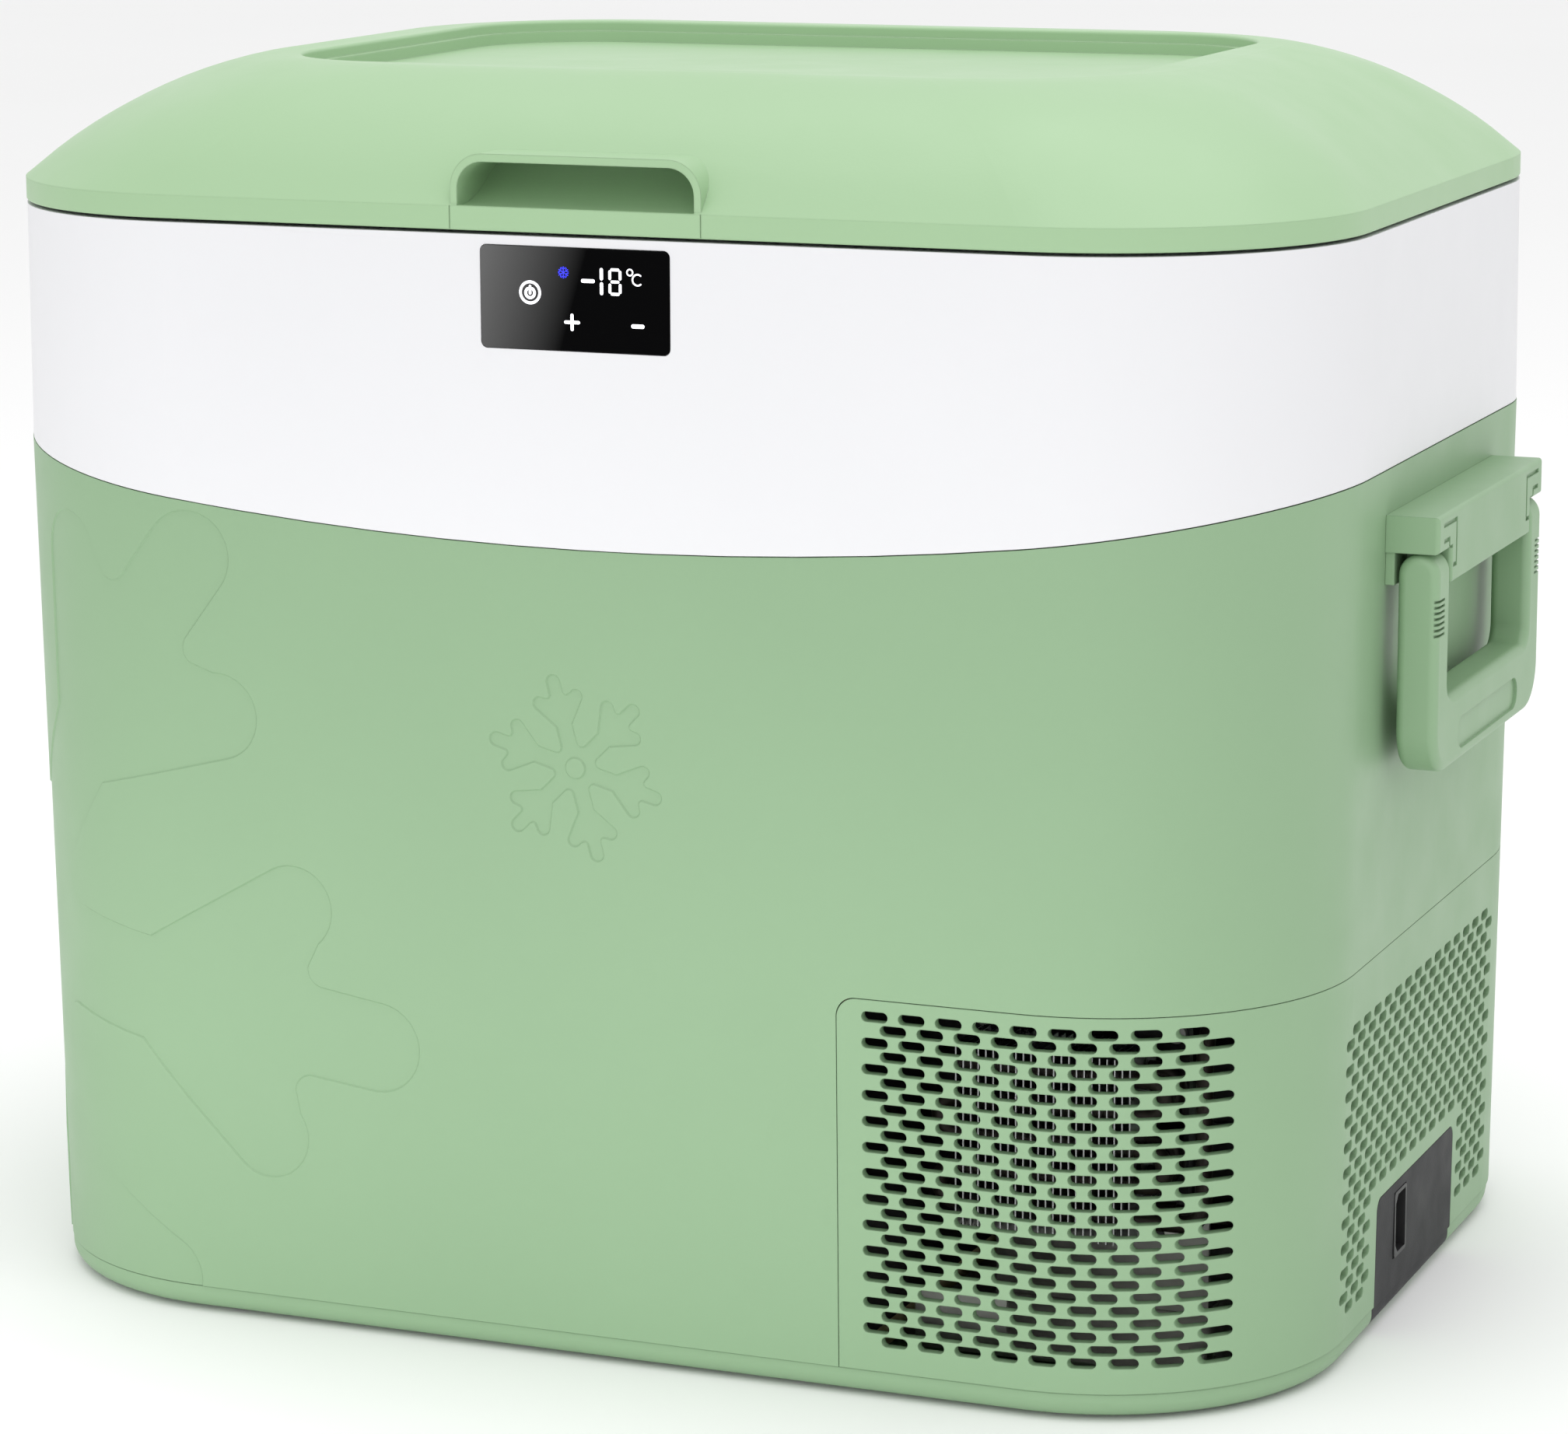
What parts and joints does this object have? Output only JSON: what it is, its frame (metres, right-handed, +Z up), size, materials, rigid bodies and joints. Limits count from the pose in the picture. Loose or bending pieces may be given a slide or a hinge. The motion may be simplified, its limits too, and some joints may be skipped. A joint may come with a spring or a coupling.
{
  "type": "compressor cooler fridge",
  "caption": "Portable compressor fridge box with domed hinged lid, white display band, green vented shell and drop-down side handles.",
  "frame": {"origin": "centre of the footprint, on the floor under the feet", "axes": "+Z up, -Y towards the front with the display, +X towards the compressor bay and the power socket"},
  "size_m": [0.5428, 0.392, 0.4508],
  "materials": {
    "shell_green": "satin",
    "lid_green": "satin",
    "band_white": "satin",
    "charcoal": "satin",
    "display_black": "gloss",
    "liner_grey": "satin",
    "black_plastic": "satin",
    "foam_cream": "matte",
    "rubber_black": "matte",
    "gasket_grey": "matte",
    "compressor_black": "satin",
    "zinc_steel": "satin",
    "bright_steel": "polished",
    "fin_aluminium": "satin",
    "copper": "satin",
    "contact_brass": "polished",
    "board_green": "satin",
    "cable_black": "satin",
    "lamp_white": "gloss",
    "basket_white": "satin"
  },
  "bodies": {
    "cabinet": {"base_tray": "shell_green", "base_feet": "rubber_black", "base_screws": "zinc_steel", "lower_shell": "shell_green", "upper_band": "band_white", "vent_cover": "shell_green", "socket_plate": "charcoal", "dc_socket": "black_plastic", "dc_socket_pins": "contact_brass", "display_glass": "display_black", "control_board": "board_green", "inner_liner": "liner_grey", "interior_lamp": "lamp_white", "foam_insulation": "foam_cream", "bay_divider": "black_plastic", "evaporator_coil": "copper", "compressor": "compressor_black", "compressor_grommets": "rubber_black", "compressor_bolts": "zinc_steel", "compressor_platform": "zinc_steel", "platform_screws": "zinc_steel", "condenser_fins": "fin_aluminium", "condenser_tube": "copper", "fan_frame": "black_plastic", "fan_bracket": "zinc_steel", "fan_screws": "zinc_steel", "driver_board": "board_green", "driver_heatsink": "fin_aluminium", "filter_drier": "copper", "discharge_tube": "copper", "suction_tube": "copper", "liquid_tube": "copper", "capillary_tube": "copper", "dc_lead": "cable_black", "display_lead": "cable_black", "hinge_screws": "bright_steel", "hinge_pins": "bright_steel", "handle_bracket_left": "shell_green", "handle_bracket_right": "shell_green", "bracket_screws_left": "zinc_steel", "bracket_screws_right": "zinc_steel", "handle_pivot_left": "bright_steel", "handle_pivot_right": "bright_steel", "hinge_leaf_left": "charcoal", "hinge_leaf_right": "charcoal"},
    "lid": {"lid_shell": "lid_green", "lid_liner": "liner_grey", "lid_foam": "foam_cream", "lid_gasket": "gasket_grey", "lid_hinge_arms": "charcoal", "lid_screws": "zinc_steel"},
    "bail_left": {"handle_bail_left": "shell_green"},
    "bail_right": {"handle_bail_right": "shell_green"},
    "fan_rotor": {"fan_rotor": "black_plastic"},
    "basket": {"basket_floor": "basket_white", "basket_sides": "basket_white", "basket_corners": "basket_white"}
  },
  "joints": [
    {"name": "lid_hinge", "type": "hinge", "parent": "cabinet", "child": "lid", "pos_m": [0, 0.19105, 0.402], "axis": [-1, 0, 0], "range_deg": [0, 95]},
    {"name": "bail_left_swing", "type": "hinge", "parent": "cabinet", "child": "bail_left", "pos_m": [-0.264, -0.00595, 0.2802], "axis": [0, 1, 0], "range_deg": [0, 90]},
    {"name": "bail_right_swing", "type": "hinge", "parent": "cabinet", "child": "bail_right", "pos_m": [0.264, -0.00595, 0.2802], "axis": [0, -1, 0], "range_deg": [0, 90]},
    {"name": "fan_spin", "type": "hinge", "parent": "cabinet", "child": "fan_rotor", "pos_m": [0.159, -0.11445, 0.088], "axis": [0, 1, 0], "continuous": true},
    {"name": "basket_lift", "type": "slide", "parent": "cabinet", "child": "basket", "axis": [0, 0, 1], "range_m": [0, 0.05]}
  ]
}
